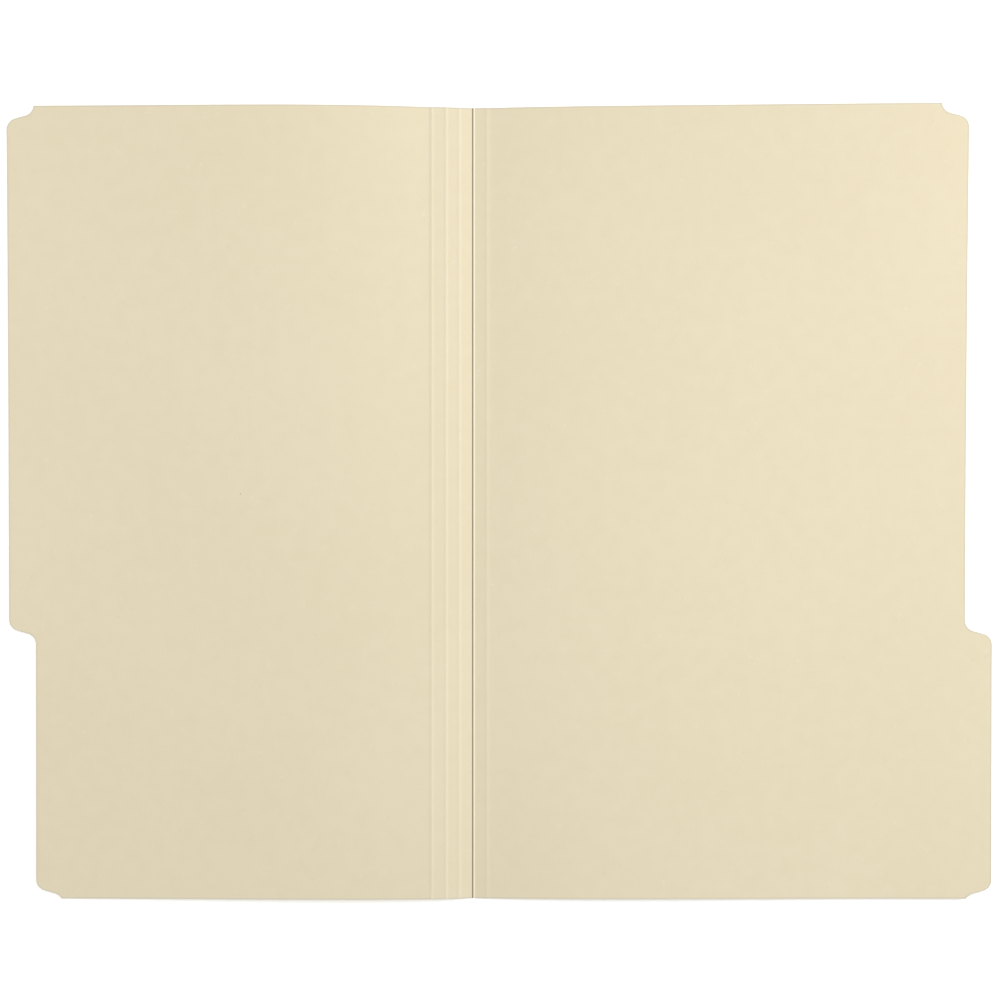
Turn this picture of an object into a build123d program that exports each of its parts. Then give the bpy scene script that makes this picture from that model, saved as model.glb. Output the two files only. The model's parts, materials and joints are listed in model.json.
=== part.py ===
from build123d import *
import os
from math import radians, tan

# A file folder of manila board, laid open with its inner face up and its head towards +Y.
# It is one die-cut sheet. A main fold and four scores part it into two leaves and four narrow strips,
# each of which turns about the creases beside it. Sizes are in millimetres, angles in degrees.

# The board and its creases
board = 0.28            # thickness, 11 point stock
fold_length = 374.65    # head to foot, along the main fold
fold_radius = 0.6       # outside of the main fold, about its hinge line
score_radius = 0.25     # rib that a score raises on the inner face, about its hinge line
groove_radius = 0.1     # mark that the scoring rule leaves on the outer face
crease_gap = 0.1        # between a crease and the panel edges beside it

# Distances from the main fold, along the flat sheet
inner_score = 6.35      # the three front scores are a quarter of an inch apart
middle_score = 12.7
outer_score = 19.05
back_score = 6.95
front_edge = 219.8      # front leaf, beside the head
back_edge = 232.8       # back leaf, beside the head

# The free edges: the same knife line cuts both, so each step has one shape
edge_step = 12.7        # height of the tab, the undercut and the corner cuts
step_slant = 15.5       # of the straight run of a step, from square to the edge
step_radius = 5.4       # where a step leaves and meets the edge
tab_length = 126.2      # foot edge to the middle of the tab's step
head_cut = 5.4          # head edge to the middle of a head corner's step
foot_cut = 3.1          # foot edge to the middle of a foot corner's step

# How the opened folder lies: slopes up from the main fold, easing off to a level front leaf
inner_angle = 15.0      # inner strip
middle_angle = 10.5     # middle strip
outer_angle = 7.0       # outer strip
back_strip_angle = 7.0
back_leaf_angle = 1.9

FRONT = -1              # the front half lies towards -X, the back half towards +X
BACK = 1
fold_room = fold_radius + crease_gap
score_room = score_radius + crease_gap


def turned(x, height, angle):
    """Placement turned about the crease that runs along Y at (x, height) on the flat sheet."""
    return Pos(x, 0, height) * Rot(0, angle, 0) * Pos(-x, 0, -height)


def strip(side, near, far):
    """Plain panel of the flat sheet between two creases, at these distances from the main fold."""
    width = far - near
    return Pos(side * (near + far) / 2, 0, board / 2) * Box(width, fold_length, board)


def leaf(side, near, edge, tab_edge):
    """Panel from a score to the free edge, which steps at the head corner, the tab and the foot corner.

    edge is its reach beside the head, tab_edge its reach over the length of the tab.
    """
    foot, head = -fold_length / 2, fold_length / 2
    half_run = edge_step / 2 * tan(radians(step_slant))
    reaches = [edge - edge_step, edge, tab_edge, tab_edge - edge_step]
    middles = [head - head_cut, foot + tab_length, foot + foot_cut]
    points = [(reaches[0], head + edge_step)]
    for step, middle in enumerate(middles):
        points.append((reaches[step], middle + half_run))
        points.append((reaches[step + 1], middle - half_run))
    points.append((reaches[3], foot - edge_step))
    knife = FilletPolyline(*[(side * x, y) for x, y in points], radius=step_radius)
    crease_side = Polyline(knife @ 1, (side * near, foot - edge_step), (side * near, head + edge_step), knife @ 0)
    trimmed = make_face([knife, crease_side]) & Rectangle(4 * max(reaches), fold_length)
    return extrude(trimmed, amount=board, dir=(0, 0, 1))


def along_fold(section):
    """Crease of this section, drawn in X and Z, over the whole length of the fold."""
    return extrude(Plane.XZ * section, amount=fold_length / 2, both=True)


def score_rib(side, distance):
    """Rib that a score raises, round about its hinge line, with the rule's groove on the outer face."""
    rib = Pos(0, score_radius) * Circle(score_radius) - Circle(groove_radius)
    return Pos(side * distance, 0, 0) * along_fold(rib)


def fold_gutter():
    """Outer plies of the main fold: a half round about its hinge line, open on the inner face."""
    ring = Circle(fold_radius) - Circle(fold_radius - board)
    lower = Rectangle(2 * fold_radius, fold_radius, align=(Align.CENTER, Align.MAX))
    return along_fold(Pos(0, fold_radius) * (ring & lower))


# Each panel is folded out of the flat sheet at its own crease, then with the panel that it hangs on
inner_place = turned(0, fold_radius, inner_angle)
middle_place = inner_place * turned(FRONT * inner_score, score_radius, middle_angle - inner_angle)
outer_place = middle_place * turned(FRONT * middle_score, score_radius, outer_angle - middle_angle)
front_leaf_place = outer_place * turned(FRONT * outer_score, score_radius, -outer_angle)
back_place = turned(0, fold_radius, -back_strip_angle)
back_leaf_place = back_place * turned(BACK * back_score, score_radius, back_strip_angle - back_leaf_angle)

front_leaf = leaf(FRONT, outer_score + score_room, front_edge, front_edge - edge_step)
back_leaf = leaf(BACK, back_score + score_room, back_edge, back_edge + edge_step)

pieces = {
    "front_leaf": front_leaf_place * front_leaf,
    "outer_score_rib": outer_place * score_rib(FRONT, outer_score),
    "outer_strip": outer_place * strip(FRONT, middle_score + score_room, outer_score - score_room),
    "middle_score_rib": middle_place * score_rib(FRONT, middle_score),
    "middle_strip": middle_place * strip(FRONT, inner_score + score_room, middle_score - score_room),
    "inner_score_rib": inner_place * score_rib(FRONT, inner_score),
    "inner_strip": inner_place * strip(FRONT, fold_room, inner_score - score_room),
    "main_fold_crease": fold_gutter(),
    "back_strip": back_place * strip(BACK, fold_room, back_score - score_room),
    "back_score_rib": back_place * score_rib(BACK, back_score),
    "back_leaf": back_leaf_place * back_leaf,
}

# The origin is on the surface that the folder lies on, midway between the two free edges
front_tip = (front_leaf_place * Pos(FRONT * front_edge, 0, 0)).position.X
back_tip = (back_leaf_place * Pos(BACK * (back_edge + edge_step), 0, 0)).position.X
to_origin = Pos(-(front_tip + back_tip) / 2, 0, 0)

os.makedirs("parts", exist_ok=True)
for name, piece in pieces.items():
    export_step(to_origin * piece, f"parts/{name}.step")
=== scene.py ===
import json
from math import cos, hypot, pi, radians, sin, sqrt, tan

import bpy
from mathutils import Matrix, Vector


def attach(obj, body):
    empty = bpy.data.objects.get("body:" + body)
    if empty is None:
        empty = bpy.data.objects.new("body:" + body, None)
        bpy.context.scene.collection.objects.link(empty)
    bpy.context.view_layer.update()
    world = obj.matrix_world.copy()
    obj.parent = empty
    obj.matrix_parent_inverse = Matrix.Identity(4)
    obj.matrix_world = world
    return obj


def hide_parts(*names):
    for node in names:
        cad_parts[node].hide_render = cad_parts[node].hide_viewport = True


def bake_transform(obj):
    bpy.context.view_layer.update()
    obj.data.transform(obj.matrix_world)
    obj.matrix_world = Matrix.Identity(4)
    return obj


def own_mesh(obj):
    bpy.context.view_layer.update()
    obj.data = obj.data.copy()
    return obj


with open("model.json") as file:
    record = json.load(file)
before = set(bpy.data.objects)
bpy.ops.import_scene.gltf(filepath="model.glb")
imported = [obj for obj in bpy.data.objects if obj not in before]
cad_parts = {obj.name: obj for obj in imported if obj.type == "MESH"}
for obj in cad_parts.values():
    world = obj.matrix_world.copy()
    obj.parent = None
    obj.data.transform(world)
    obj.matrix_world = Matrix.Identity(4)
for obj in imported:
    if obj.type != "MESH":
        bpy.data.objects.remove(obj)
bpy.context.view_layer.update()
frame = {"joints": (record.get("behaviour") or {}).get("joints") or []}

# Everything is in metres and radians. The flat sheet is measured from the main fold, with the front half
# towards -X and the head towards +Y.


# Front leaf: the left half of one die-cut blank of buff manila board, with an undercut beside the tab.
# A steel rule has cut its free edge in one line, with the same rounded step at the head, tab and foot.
# The board has taken a bow in use: it crowns past the score, its head curls up and its foot lies down.
board = 0.00028             # thickness
fold_length = 0.37465       # head to foot
score_height = 0.00025      # hinge line of a score, above the outer face
bead_reach = 0.0018         # from a score to where the board is flat again
outer_score = -0.01905
front_edge = 0.2198         # reach beside the head
edge_step = 0.0127          # height of the tab, the undercut and the corner cuts
step_slant = radians(15.5)  # of a step's straight run, from square to the edge
step_radius = 0.0054        # where a step leaves and meets the edge
tab_length = 0.1262         # foot edge to the middle of the tab's step
head_cut = 0.0054           # head edge to the middle of a head corner's step
foot_cut = 0.0031           # foot edge to the middle of a foot corner's step

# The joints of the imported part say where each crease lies
crease_line = {joint["name"]: Vector(joint["pos_m"]) for joint in frame["joints"]}


def knife_step(y, middle, above, below):
    """Reach of the knife line at y, where it steps at middle: two arcs with a slanted run between them."""
    half_run = edge_step / 2 * tan(step_slant)
    tangent = step_radius * tan((pi / 2 - step_slant) / 2)
    half_step = half_run + tangent
    arc_end = half_run - tangent * 2 * half_run / hypot(edge_step, 2 * half_run)
    outward = 1 if below > above else -1
    down = middle - y
    if abs(down) >= half_step:
        return above if down < 0 else below
    if abs(down) <= arc_end:
        return (above + below) / 2 + outward * edge_step / 2 * down / half_run
    rise = step_radius - sqrt(step_radius**2 - (half_step - abs(down)) ** 2)
    return above + outward * rise if down < 0 else below - outward * rise


def free_edge(y, edge, tab_edge):
    """Reach of a leaf at y: edge beside the head, tab_edge over the length of the tab."""
    if y > fold_length / 2 - 2 * edge_step:
        return knife_step(y, fold_length / 2 - head_cut, edge - edge_step, edge)
    if y < -fold_length / 2 + 2 * edge_step:
        return knife_step(y, -fold_length / 2 + foot_cut, tab_edge, tab_edge - edge_step)
    return knife_step(y, -fold_length / 2 + tab_length, edge, tab_edge)


def spread(start, end, count):
    """Even places from start to end, in count steps."""
    return [start + (end - start) * step / count for step in range(count + 1)]


def sheet_rows():
    """Rows of the mesh from foot to head, closer where the knife line steps. All the pieces share them."""
    foot, head = -fold_length / 2, fold_length / 2
    foot_corner = foot + 0.009
    tab_start, tab_end = foot + tab_length - 0.006, foot + tab_length + 0.006
    head_corner = head - 0.011
    rows = [foot]
    for start, end, count in ((foot, foot_corner, 30), (foot_corner, tab_start, 40), (tab_start, tab_end, 40),
                              (tab_end, head_corner, 80), (head_corner, head, 36)):
        rows += spread(start, end, count)[1:]
    return rows


def blank(name, columns, crease_at, cut_sides=()):
    """Flat closed piece of board, inner face up. columns(y) gives its places in X along one row.

    cut_sides says which sides, "left" or "right", the knife has cut; the head and foot always are.
    The UV map is the place on the flat sheet, from_crease the distance from the piece's crease, from_cut the
    distance from the nearest cut edge, and inner is 1 on the inner face and 0 on the outer one.
    """
    rows = sheet_rows()
    places = [[(x, y) for x in columns(y)] for y in rows]
    wide, tall = len(places[0]), len(rows)
    flat = [place for row in places for place in row]
    under = len(flat)
    corners = [(x, y, board) for x, y in flat] + [(x, y, 0.0) for x, y in flat]
    faces, cut = [], []

    def add(face, is_cut):
        faces.append(face)
        cut.append(is_cut)

    for r in range(tall - 1):
        for c in range(wide - 1):
            a = r * wide + c
            add((a, a + 1, a + wide + 1, a + wide), False)
            add((under + a, under + a + wide, under + a + wide + 1, under + a + 1), False)
        a, b = r * wide, r * wide + wide - 1
        add((a, a + wide, under + a + wide, under + a), "left" in cut_sides)
        add((b + wide, b, under + b, under + b + wide), "right" in cut_sides)
    for c in range(wide - 1):
        a, b = c, (tall - 1) * wide + c
        add((a + 1, a, under + a, under + a + 1), True)
        add((b, b + 1, under + b + 1, under + b), True)

    mesh = bpy.data.meshes.new(name)
    mesh.from_pydata(corners, [], faces)
    sheet_map = mesh.uv_layers.new(name="sheet")
    for loop in mesh.loops:
        sheet_map.data[loop.index].uv = flat[loop.vertex_index % under]
    mesh.attributes.new("cut_edge", "BOOLEAN", "FACE").data.foreach_set("value", cut)
    from_crease = [x - crease_at for x, y in flat] * 2
    mesh.attributes.new("from_crease", "FLOAT", "POINT").data.foreach_set("value", from_crease)

    from_cut = []
    nudge = 0.0001
    cut_end = {"left": (0, 1), "right": (-1, -1)}
    for y in rows:
        row, next_row = columns(y), columns(y + nudge)
        for x in row:
            reaches = [fold_length / 2 - abs(y)]
            for side in cut_sides:
                end, inward = cut_end[side]
                slope = (next_row[end] - row[end]) / nudge
                reaches.append(inward * (x - row[end]) / hypot(1, slope))
            from_cut.append(min(reaches))
    mesh.attributes.new("from_cut", "FLOAT", "POINT").data.foreach_set("value", from_cut * 2)
    mesh.attributes.new("inner", "FLOAT", "POINT").data.foreach_set("value", [1.0] * under + [0.0] * under)
    piece = bpy.data.objects.new(name, mesh)
    bpy.context.scene.collection.objects.link(piece)
    return piece


def arithmetic(tree):
    """calc(operation, a, b) adds one Math node to the tree and gives its result."""
    def calc(operation, *values):
        node = tree.nodes.new("ShaderNodeMath")
        node.operation = operation
        for socket, value in zip(node.inputs, values):
            if isinstance(value, bpy.types.NodeSocket):
                tree.links.new(value, socket)
            else:
                socket.default_value = value
        return node.outputs[0]
    return calc


def folded_board_tree():
    """Geometry Nodes: takes a flat blank, raises the bead of its crease, bows it and folds it into place."""
    tree = bpy.data.node_groups.new("folded_board", "GeometryNodeTree")
    tree.interface.new_socket("Geometry", in_out="INPUT", socket_type="NodeSocketGeometry")
    tree.interface.new_socket("Geometry", in_out="OUTPUT", socket_type="NodeSocketGeometry")
    for name in ("Crease X", "Hinge height", "Slope left", "Slope right", "Turn width", "Bead height",
                 "Bead width", "Bead offset", "Cleft depth", "Cleft width", "Groove depth", "Groove width",
                 "Bow side", "Bow start", "Bow reach", "Crown peak", "Crown at foot", "Crown at head",
                 "Edge at foot", "Edge at head"):
        tree.interface.new_socket(name, in_out="INPUT", socket_type="NodeSocketFloat")
    tree.interface.new_socket("Place", in_out="INPUT", socket_type="NodeSocketVector")
    tree.interface.new_socket("Board material", in_out="INPUT", socket_type="NodeSocketMaterial")
    tree.interface.new_socket("Cut material", in_out="INPUT", socket_type="NodeSocketMaterial")
    link, calc = tree.links.new, arithmetic(tree)
    given = tree.nodes.new("NodeGroupInput").outputs
    flat = tree.nodes.new("ShaderNodeSeparateXYZ")
    link(tree.nodes.new("GeometryNodeInputPosition").outputs[0], flat.inputs[0])
    x, y, height = flat.outputs
    off_crease = calc("SUBTRACT", x, given["Crease X"])
    distance = calc("ABSOLUTE", off_crease)

    def swell(off_centre, width):
        """1 on the centre line, easing to 0 at width."""
        share = calc("MINIMUM", calc("DIVIDE", calc("ABSOLUTE", off_centre), width), 1.0)
        return calc("MULTIPLY_ADD", calc("COSINE", calc("MULTIPLY", share, pi)), 0.5, 0.5)

    def ease(share):
        """From 0 to 1 with a level start and end."""
        return calc("MULTIPLY", calc("MULTIPLY", share, share), calc("MULTIPLY_ADD", share, -2.0, 3.0))

    # Bead and cleft on the inner face, rule's groove on the outer face
    bead = calc("MULTIPLY", swell(calc("SUBTRACT", off_crease, given["Bead offset"]), given["Bead width"]),
                given["Bead height"])
    cleft = calc("MULTIPLY", swell(distance, given["Cleft width"]), given["Cleft depth"])
    groove = calc("MULTIPLY", swell(distance, given["Groove width"]), given["Groove depth"])
    inner_face = calc("GREATER_THAN", height, board / 2)
    relief = calc("MULTIPLY_ADD", calc("SUBTRACT", calc("SUBTRACT", bead, cleft), groove), inner_face, groove)

    # Bow: a crown near the score, and a lift or drop of the free edge, both changing from foot to head
    gentle_start = 0.001    # length over which the bow sets in
    late_rise = 2.1         # power that keeps most of the change near the head
    past_start = calc("SUBTRACT", calc("MULTIPLY", off_crease, given["Bow side"]), given["Bow start"])
    reached = calc("MAXIMUM", past_start, 0.0)
    eased_reach = calc("DIVIDE", calc("MULTIPLY", reached, reached), calc("ADD", reached, gentle_start))
    along = calc("MINIMUM", calc("DIVIDE", eased_reach, given["Bow reach"]), 1.0)
    towards_head = calc("POWER", calc("MULTIPLY_ADD", y, 1 / fold_length, 0.5), late_rise)
    fall = calc("SUBTRACT", calc("DIVIDE", 1.0, given["Crown peak"]), 1.0)

    def crown_shape(share):
        return calc("MULTIPLY", share, calc("POWER", calc("SUBTRACT", 1.0, share), fall))

    def from_foot_to_head(at_foot, at_head):
        return calc("MULTIPLY_ADD", calc("SUBTRACT", at_head, at_foot), towards_head, at_foot)

    crown = calc("DIVIDE", crown_shape(along), crown_shape(given["Crown peak"]))
    crown_height = from_foot_to_head(given["Crown at foot"], given["Crown at head"])
    edge_height = from_foot_to_head(given["Edge at foot"], given["Edge at head"])
    bow = calc("MULTIPLY_ADD", crown, crown_height, calc("MULTIPLY", ease(along), edge_height))

    # Fold: the slope turns from the right panel's to the left one's about the hinge line
    half_turn = calc("MULTIPLY_ADD", calc("DIVIDE", off_crease, given["Turn width"]), -0.5, 0.5)
    turn = calc("MINIMUM", calc("MAXIMUM", half_turn, 0.0), 1.0)
    slope = calc("MULTIPLY_ADD", calc("SUBTRACT", given["Slope left"], given["Slope right"]), ease(turn),
                 given["Slope right"])
    off_hinge = calc("SUBTRACT", calc("ADD", height, calc("ADD", relief, bow)), given["Hinge height"])
    cosine, sine = calc("COSINE", slope), calc("SINE", slope)
    folded = tree.nodes.new("ShaderNodeCombineXYZ")
    link(calc("MULTIPLY_ADD", off_crease, cosine, calc("MULTIPLY", off_hinge, sine)), folded.inputs[0])
    link(y, folded.inputs[1])
    rise = calc("SUBTRACT", calc("MULTIPLY", off_hinge, cosine), calc("MULTIPLY", off_crease, sine))
    link(rise, folded.inputs[2])
    placed = tree.nodes.new("ShaderNodeVectorMath")
    link(folded.outputs[0], placed.inputs[0])
    link(given["Place"], placed.inputs[1])
    moved = tree.nodes.new("GeometryNodeSetPosition")
    link(given["Geometry"], moved.inputs["Geometry"])
    link(placed.outputs[0], moved.inputs["Position"])

    realized = tree.nodes.new("GeometryNodeRealizeInstances")
    link(moved.outputs[0], realized.inputs[0])
    cut_faces = tree.nodes.new("GeometryNodeInputNamedAttribute")
    cut_faces.data_type = "BOOLEAN"
    cut_faces.inputs["Name"].default_value = "cut_edge"
    painted = tree.nodes.new("GeometryNodeSetMaterial")
    link(realized.outputs[0], painted.inputs["Geometry"])
    link(given["Board material"], painted.inputs["Material"])
    edged = tree.nodes.new("GeometryNodeSetMaterial")
    link(painted.outputs[0], edged.inputs["Geometry"])
    link(cut_faces.outputs["Attribute"], edged.inputs["Selection"])
    link(given["Cut material"], edged.inputs["Material"])
    link(edged.outputs[0], tree.nodes.new("NodeGroupOutput").inputs[0])
    return tree


folded_board = folded_board_tree()


def fold_out(piece, settings):
    """Runs the folded board tree on a blank with these settings and leaves the result as a plain mesh.

    What the settings leave out has no height, and its width or reach is only kept from being zero.
    """
    defaults = {"Turn width": 0.0003, "Bead width": 0.001, "Cleft width": 0.001, "Groove width": 0.001,
                "Bow reach": 1.0, "Crown peak": 0.3, "Cut material": cut_edge, "Board material": manila}
    crisp_edge = radians(50)
    modifier = piece.modifiers.new("folded_board", "NODES")
    modifier.node_group = folded_board
    for socket in folded_board.interface.items_tree:
        value = {**defaults, **settings}.get(socket.name)
        if value is not None:
            modifier[socket.identifier] = value
    graph = bpy.context.evaluated_depsgraph_get()
    mesh = bpy.data.meshes.new_from_object(piece.evaluated_get(graph))
    piece.modifiers.clear()
    piece.data = mesh
    mesh.shade_smooth()
    mesh.set_sharp_from_angle(angle=crisp_edge)


def paper_nodes(name, roughness):
    """New matt material; gives it with its tree, its shader, the sheet's own map, and two helpers."""
    material = bpy.data.materials.new(name)
    material.use_nodes = True
    tree = material.node_tree
    shader = tree.nodes["Principled BSDF"]
    shader.inputs["Roughness"].default_value = roughness
    shader.inputs["Specular IOR Level"].default_value = 0.3
    sheet_map = tree.nodes.new("ShaderNodeUVMap")
    sheet_map.uv_map = "sheet"

    def noise(scale, detail=2.0, distortion=0.0, shift=0.0):
        """Noise on the flat sheet, scale to the metre; shift takes it from another place of the pattern."""
        node = tree.nodes.new("ShaderNodeTexNoise")
        moved = tree.nodes.new("ShaderNodeVectorMath")
        moved.inputs[1].default_value = (shift, 0.7 * shift, 0.0)
        tree.links.new(sheet_map.outputs[0], moved.inputs[0])
        tree.links.new(moved.outputs[0], node.inputs["Vector"])
        node.inputs["Scale"].default_value = scale
        node.inputs["Detail"].default_value = detail
        node.inputs["Distortion"].default_value = distortion
        return node.outputs["Fac"]

    def mix(share, first, second):
        """Colour that goes from first to second as share goes from 0 to 1."""
        node = tree.nodes.new("ShaderNodeMix")
        node.data_type = "RGBA"
        for label, value in (("Factor", share), ("A", first), ("B", second)):
            socket = node.inputs[label]
            if isinstance(value, bpy.types.NodeSocket):
                tree.links.new(value, socket)
            else:
                socket.default_value = value
        return node.outputs["Result"]

    return material, tree, shader, sheet_map, noise, mix


def manila_board(name, highlight_share=0.0, ridge_at=0.0, ridge_width=0.0011, cleft_shade_share=0.0):
    """Buff board: cloudy formation, pale and dark fibres, a few specks, and a fine felt grain.

    It paints a highlight on the ridge of a crease and shade into the line of a sharp fold, each by its own
    share, and a darker rim of shade along the cut edges.
    """
    dark_buff, pale_buff = (0.754, 0.670, 0.478, 1), (0.770, 0.687, 0.496, 1)
    felt_hollow = (0.70, 0.61, 0.42, 1)
    pale_fibre, dark_fibre, bark_speck = (0.88, 0.82, 0.68, 1), (0.55, 0.45, 0.29, 1), (0.30, 0.22, 0.13, 1)
    # Painted shade for a darker, greyer rim along the cut edges
    edge_shade_colour = (0.60, 0.56, 0.47, 1)
    # Painted highlight for the ridge of a crease, and painted shade for the cleft of a sharp fold
    ridge_highlight_colour, cleft_shade_colour = (0.90, 0.84, 0.68, 1), (0.16, 0.12, 0.07, 1)
    material, tree, shader, sheet_map, noise, mix = paper_nodes(name, 0.72)
    calc = arithmetic(tree)

    def ramp(value, low, high):
        """Eases from 0 where value is low to 1 where it is high; low may be the larger."""
        node = tree.nodes.new("ShaderNodeMapRange")
        node.interpolation_type = "SMOOTHSTEP"
        node.inputs["From Min"].default_value = low
        node.inputs["From Max"].default_value = high
        tree.links.new(value, node.inputs["Value"])
        return node.outputs["Result"]

    def from_mesh(attribute):
        node = tree.nodes.new("ShaderNodeAttribute")
        node.attribute_name = attribute
        return node.outputs["Fac"]

    def fibres(scale, shift):
        """Hair lines along the middle value of one noise, broken into short lengths by another."""
        off_line = calc("ABSOLUTE", calc("SUBTRACT", noise(scale, 1.0, 0.6, shift), 0.5))
        hair = ramp(off_line, 0.014, 0.003)
        return calc("MULTIPLY", hair, ramp(noise(scale * 0.6, 1.0, 0.0, shift + 3.1), 0.56, 0.64))

    cloud = noise(130.0, 4.0)
    drift = noise(11.0, 2.0, 0.0, 5.3)
    grain = noise(1900.0, 3.0)
    pale_fibres, dark_fibres = fibres(300.0, 1.7), fibres(260.0, 8.2)

    # Specks: a dot in the middle of a few cells, chosen by the cell's own colour
    cells = tree.nodes.new("ShaderNodeTexVoronoi")
    cells.inputs["Scale"].default_value = 55.0
    tree.links.new(sheet_map.outputs[0], cells.inputs["Vector"])
    cell_colour = tree.nodes.new("ShaderNodeSeparateColor")
    tree.links.new(cells.outputs["Color"], cell_colour.inputs[0])
    chosen = ramp(cell_colour.outputs[0], 0.955, 0.965)
    specks = calc("MULTIPLY", ramp(cells.outputs["Distance"], 0.024, 0.010), chosen)

    tone = calc("ADD", calc("MULTIPLY", cloud, 0.55), calc("MULTIPLY", drift, 0.45))
    colour = mix(ramp(tone, 0.34, 0.66), dark_buff, pale_buff)
    colour = mix(calc("MULTIPLY", ramp(grain, 0.3, 0.7), 0.12), colour, felt_hollow)
    colour = mix(calc("MULTIPLY", pale_fibres, 0.22), colour, pale_fibre)
    colour = mix(calc("MULTIPLY", dark_fibres, 0.10), colour, dark_fibre)
    colour = mix(calc("MULTIPLY", specks, 0.55), colour, bark_speck)
    # Painted shade: a darker, greyer rim along the cut edges
    painted_edge_shade = ramp(from_mesh("from_cut"), 0.0010, 0.0002)
    colour = mix(calc("MULTIPLY", painted_edge_shade, 0.65), colour, edge_shade_colour)
    if highlight_share or cleft_shade_share:
        off_crease, inner = from_mesh("from_crease"), from_mesh("inner")
        off_ridge = calc("ABSOLUTE", calc("SUBTRACT", off_crease, ridge_at))
        # Painted highlight along the ridge of a crease, on the inner face only
        painted_ridge_highlight = calc("MULTIPLY", ramp(off_ridge, ridge_width, 0.3 * ridge_width), inner)
        # Painted shade in the cleft of a sharp fold, on the inner face only
        painted_cleft_shade = calc("MULTIPLY", ramp(calc("ABSOLUTE", off_crease), 0.00026, 0.00008), inner)
        colour = mix(calc("MULTIPLY", painted_ridge_highlight, highlight_share), colour, ridge_highlight_colour)
        colour = mix(calc("MULTIPLY", painted_cleft_shade, cleft_shade_share), colour, cleft_shade_colour)
    tree.links.new(colour, shader.inputs["Base Color"])
    tree.links.new(calc("MULTIPLY_ADD", grain, 0.16, 0.66), shader.inputs["Roughness"])

    felt = calc("ADD", grain, calc("MULTIPLY", calc("ADD", pale_fibres, dark_fibres), 0.5))
    bump = tree.nodes.new("ShaderNodeBump")
    bump.inputs["Strength"].default_value = 0.25
    bump.inputs["Distance"].default_value = 0.00003
    tree.links.new(calc("ADD", felt, calc("MULTIPLY", cloud, 1.5)), bump.inputs["Height"])
    tree.links.new(bump.outputs[0], shader.inputs["Normal"])
    return material


def cut_board():
    """Cut edge of the board: torn fibre ends, greyer and rougher than the face."""
    grey_end, buff_end = (0.50, 0.44, 0.33, 1), (0.70, 0.63, 0.48, 1)
    material, tree, shader, sheet_map, noise, mix = paper_nodes("manila_cut_edge", 0.9)
    tree.links.new(mix(noise(700.0, 3.0), grey_end, buff_end), shader.inputs["Base Color"])
    return material


manila = manila_board("manila_board")
cut_edge = cut_board()


def front_columns(y):
    """From the knife line to a steady column well inside it, and on to the score."""
    steady = 3 * edge_step - front_edge
    left = -free_edge(y, front_edge, front_edge - edge_step)
    return spread(left, steady, 16)[:-1] + spread(steady, outer_score - bead_reach, 64)


front_bow = {"Bow side": -1, "Bow start": bead_reach, "Bow reach": front_edge + outer_score - bead_reach,
             "Crown peak": 0.31, "Crown at foot": 0.0015, "Crown at head": 0.0063,
             "Edge at foot": -0.003, "Edge at head": 0.0038}
front_leaf = blank("front_leaf_board", front_columns, outer_score, cut_sides=["left"])
fold_out(front_leaf, {"Crease X": outer_score, "Hinge height": score_height,
                      "Place": crease_line["outer_score_fold"], **front_bow})
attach(front_leaf, "front_leaf")
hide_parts("front_leaf")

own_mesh(front_leaf)


# Scores of the front half: three lines pressed into the board by a blunt rule, so that the folder can be
# squared up to hold more. Each raises a low bead on the inner face and leaves a groove on the outer one.
middle_score = -0.0127
inner_score = -0.00635
outer_slope = radians(7)    # of the outer strip, in the open folder
middle_slope = radians(10.5)
inner_slope = radians(15)
groove_depth, groove_width = 0.00009, 0.0004
bead_width = 0.0013         # from the ridge of a bead to its foot
# Its material paints a faint highlight along the ridge of each bead
manila_bead = manila_board("manila_bead", highlight_share=0.15)


def score(name, node, crease_at, joint, bead_height, bead_offset, settings):
    """One scored line, which bends where the panels on its two sides turn about it.

    Its bead stands bead_offset to the right of the hinge line.
    """
    left, right = crease_at - bead_reach, crease_at + bead_reach
    piece = blank(name, lambda y: spread(left, right, 36), crease_at + bead_offset)
    place = crease_line[joint]
    fold_out(piece, {"Crease X": crease_at, "Hinge height": score_height, "Place": place,
                     "Groove depth": groove_depth, "Groove width": groove_width,
                     "Bead height": bead_height, "Bead offset": bead_offset, "Bead width": bead_width,
                     "Board material": manila_bead, **settings})
    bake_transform(piece)
    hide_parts(node)


score("outer_score_bead", "outer_score_rib", outer_score, "outer_score_fold",
      0.00018, -0.0005, {"Slope left": 0.0, "Slope right": outer_slope})
score("middle_score_bead", "middle_score_rib", middle_score, "middle_score_fold",
      0.00018, 0.0, {"Slope left": outer_slope, "Slope right": middle_slope})
score("inner_score_bead", "inner_score_rib", inner_score, "inner_score_fold",
      0.00016, 0.0, {"Slope left": middle_slope, "Slope right": inner_slope})


# Strips: the narrow panels between the scores, of the same board. In the open folder each lies a little
# flatter than the one nearer to the main fold. The back half has one strip only.
fold_height = 0.0006        # hinge line of the main fold, above the outer face
fold_reach = 0.0013         # from the main fold to where the board is flat
back_score = 0.00695
back_strip_slope = radians(-7)


def strip(name, node, left, right, crease_at, joint, slope, hinge_height):
    """Flat panel from left to right on the sheet, which turns about the crease at its inner side."""
    piece = blank(name, lambda y: spread(left, right, 4), crease_at)
    fold_out(piece, {"Crease X": crease_at, "Hinge height": hinge_height, "Place": crease_line[joint],
                     "Slope left": slope, "Slope right": slope})
    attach(piece, node)
    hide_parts(node)


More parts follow.
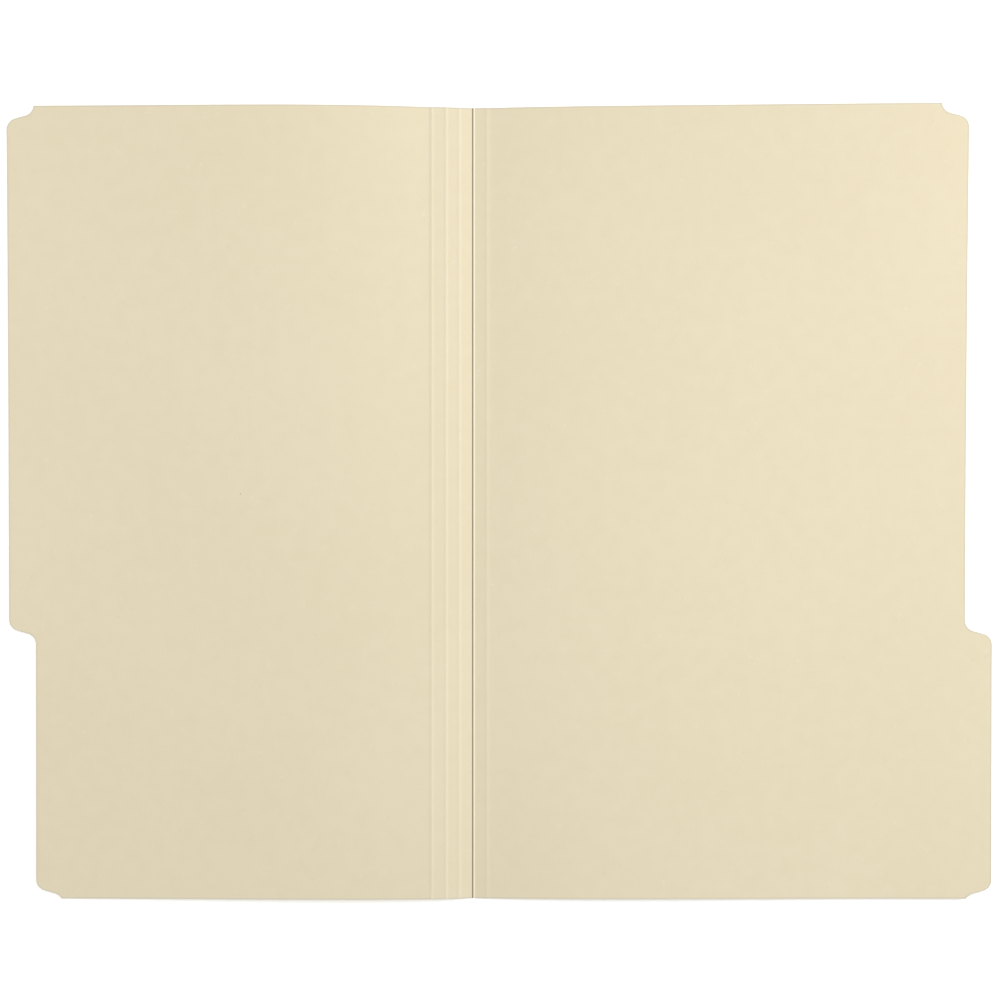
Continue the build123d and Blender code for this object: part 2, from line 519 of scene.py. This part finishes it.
strip("outer_strip_board", "outer_strip", outer_score + bead_reach, middle_score - bead_reach,
      middle_score, "middle_score_fold", outer_slope, score_height)
strip("middle_strip_board", "middle_strip", middle_score + bead_reach, inner_score - bead_reach,
      inner_score, "inner_score_fold", middle_slope, score_height)
strip("inner_strip_board", "inner_strip", inner_score + bead_reach, -fold_reach,
      0.0, "main_fold", inner_slope, fold_height)
strip("back_strip_board", "back_strip", fold_reach, back_score - bead_reach,
      0.0, "main_fold", back_strip_slope, fold_height)


# Main fold: where the sheet is folded in half. Folding has pressed the inner plies into a narrow cleft with a
# raised shoulder on the back leaf's side, and stretched the outer plies round the back. Its material paints
# shade into the cleft and a highlight on the shoulder.
manila_fold = manila_board("manila_fold", highlight_share=0.7, ridge_at=0.0008, ridge_width=0.0005, cleft_shade_share=0.8)


def fold_columns(y):
    """Closer between the shoulders of the cleft than in the flat board beside them."""
    shoulder = 0.0008
    return (spread(-fold_reach, -shoulder, 5)[:-1] + spread(-shoulder, shoulder, 40)
            + spread(shoulder, fold_reach, 5)[1:])


main_fold = blank("main_fold_crease_board", fold_columns, 0.0)
fold_out(main_fold, {"Crease X": 0.0, "Hinge height": fold_height, "Place": crease_line["main_fold"],
                     "Slope left": inner_slope, "Slope right": back_strip_slope, "Turn width": 0.0005,
                     "Bead height": 0.0002, "Bead offset": 0.0006, "Bead width": 0.0005,
                     "Cleft depth": 0.0002, "Cleft width": 0.0004, "Board material": manila_fold})
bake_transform(main_fold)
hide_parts("main_fold_crease")


# Back leaf: the right half of the blank, with the index tab on the third nearest the foot. Its score is one
# more pressed line. The leaf rises from the score, its head corner is highest and its foot lies nearly flat.
back_edge = 0.2328          # reach beside the head; the tab stands out beyond it
back_leaf_slope = radians(-1.9)
back_bow = {"Bow side": 1, "Bow start": bead_reach,
            "Bow reach": back_edge + edge_step - back_score - bead_reach,
            "Crown peak": 0.25, "Crown at foot": 0.0014, "Crown at head": 0.0029,
            "Edge at foot": -0.0065, "Edge at head": 0.0083}


def back_columns(y):
    """From the score to a steady column well inside the knife line, and on to the line."""
    steady = back_edge - 3 * edge_step
    right = free_edge(y, back_edge, back_edge + edge_step)
    return spread(back_score + bead_reach, steady, 74)[:-1] + spread(steady, right, 18)


score("back_score_bead", "back_score_rib", back_score, "back_score_fold",
      0.00007, -0.0003, {"Slope left": back_strip_slope, "Slope right": back_leaf_slope,
                         "Board material": manila})
back_leaf = blank("back_leaf_board", back_columns, back_score, cut_sides=["right"])
fold_out(back_leaf, {"Crease X": back_score, "Hinge height": score_height,
                     "Place": crease_line["back_score_fold"],
                     "Slope left": back_leaf_slope, "Slope right": back_leaf_slope, **back_bow})
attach(back_leaf, "back_leaf")
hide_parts("back_leaf")
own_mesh(back_leaf)


# Table: a wide pale sheet that the folder lies on. It is lit and glows a little, so that it runs out white
# round the folder and keeps only a faint shadow under the raised edges.
half_table = 12.0
under = -0.00005            # a hair below the folder, so that the two never share a surface
table_corners = [(-half_table, -half_table, under), (half_table, -half_table, under),
                 (half_table, half_table, under), (-half_table, half_table, under)]
table_mesh = bpy.data.meshes.new("table")
table_mesh.from_pydata(table_corners, [], [(0, 1, 2, 3)])
table = bpy.data.objects.new("table", table_mesh)
bpy.context.scene.collection.objects.link(table)
table_paint = bpy.data.materials.new("table_white")
table_paint.use_nodes = True
table_shader = table_paint.node_tree.nodes["Principled BSDF"]
table_shader.inputs["Base Color"].default_value = (0.93, 0.93, 0.93, 1)
table_shader.inputs["Roughness"].default_value = 0.9
table_shader.inputs["Specular IOR Level"].default_value = 0.1
table_shader.inputs["Emission Color"].default_value = (1, 1, 1, 1)
table_shader.inputs["Emission Strength"].default_value = 0.3
table_mesh.materials.append(table_paint)


# Light: a white room, brighter low down where its walls meet the table, and two soft boxes. The one low on
# the right grazes the beads and the fold.
room = bpy.data.worlds.new("room")
room.use_nodes = True
room_nodes = room.node_tree.nodes
looking = room_nodes.new("ShaderNodeTexCoord")
upwards = room_nodes.new("ShaderNodeSeparateXYZ")
wall = room_nodes.new("ShaderNodeMapRange")
wall.interpolation_type = "SMOOTHSTEP"
wall_height, wall_light, ceiling_light = 0.35, 0.68, 0.37
for socket, value in zip(wall.inputs[1:5], (0.0, wall_height, wall_light, ceiling_light)):
    socket.default_value = value
room.node_tree.links.new(looking.outputs["Generated"], upwards.inputs[0])
room.node_tree.links.new(upwards.outputs[2], wall.inputs[0])
room.node_tree.links.new(wall.outputs[0], room_nodes["Background"].inputs["Strength"])
room_nodes["Background"].inputs["Color"].default_value = (1, 1, 1, 1)
bpy.context.scene.world = room


def soft_box(name, place, watts):
    """Square soft box at this place, turned to the folder and out of the camera's sight."""
    lamp = bpy.data.lights.new(name, "AREA")
    lamp.size = 0.66
    lamp.energy = watts
    stand = bpy.data.objects.new(name, lamp)
    stand.location = place
    stand.rotation_euler = (-Vector(place)).to_track_quat("-Z", "Y").to_euler()
    stand.visible_camera = False
    bpy.context.scene.collection.objects.link(stand)


soft_box("key_soft_box", (0.966, 0.301, 0.645), 10.2)
soft_box("fill_soft_box", (-0.576, 0.136, 1.044), 5.7)


# Camera: straight above the open folder, looking down through a long lens, with the head of the folder at
# the top of the picture.
camera = bpy.data.cameras.new("camera")
camera.lens = 85
camera.sensor_width = 36
camera_stand = bpy.data.objects.new("camera", camera)
camera_stand.location = (0.0001, 0.0015, 1.12)
bpy.context.scene.collection.objects.link(camera_stand)
bpy.context.scene.camera = camera_stand
bpy.context.scene.view_settings.view_transform = "Standard"
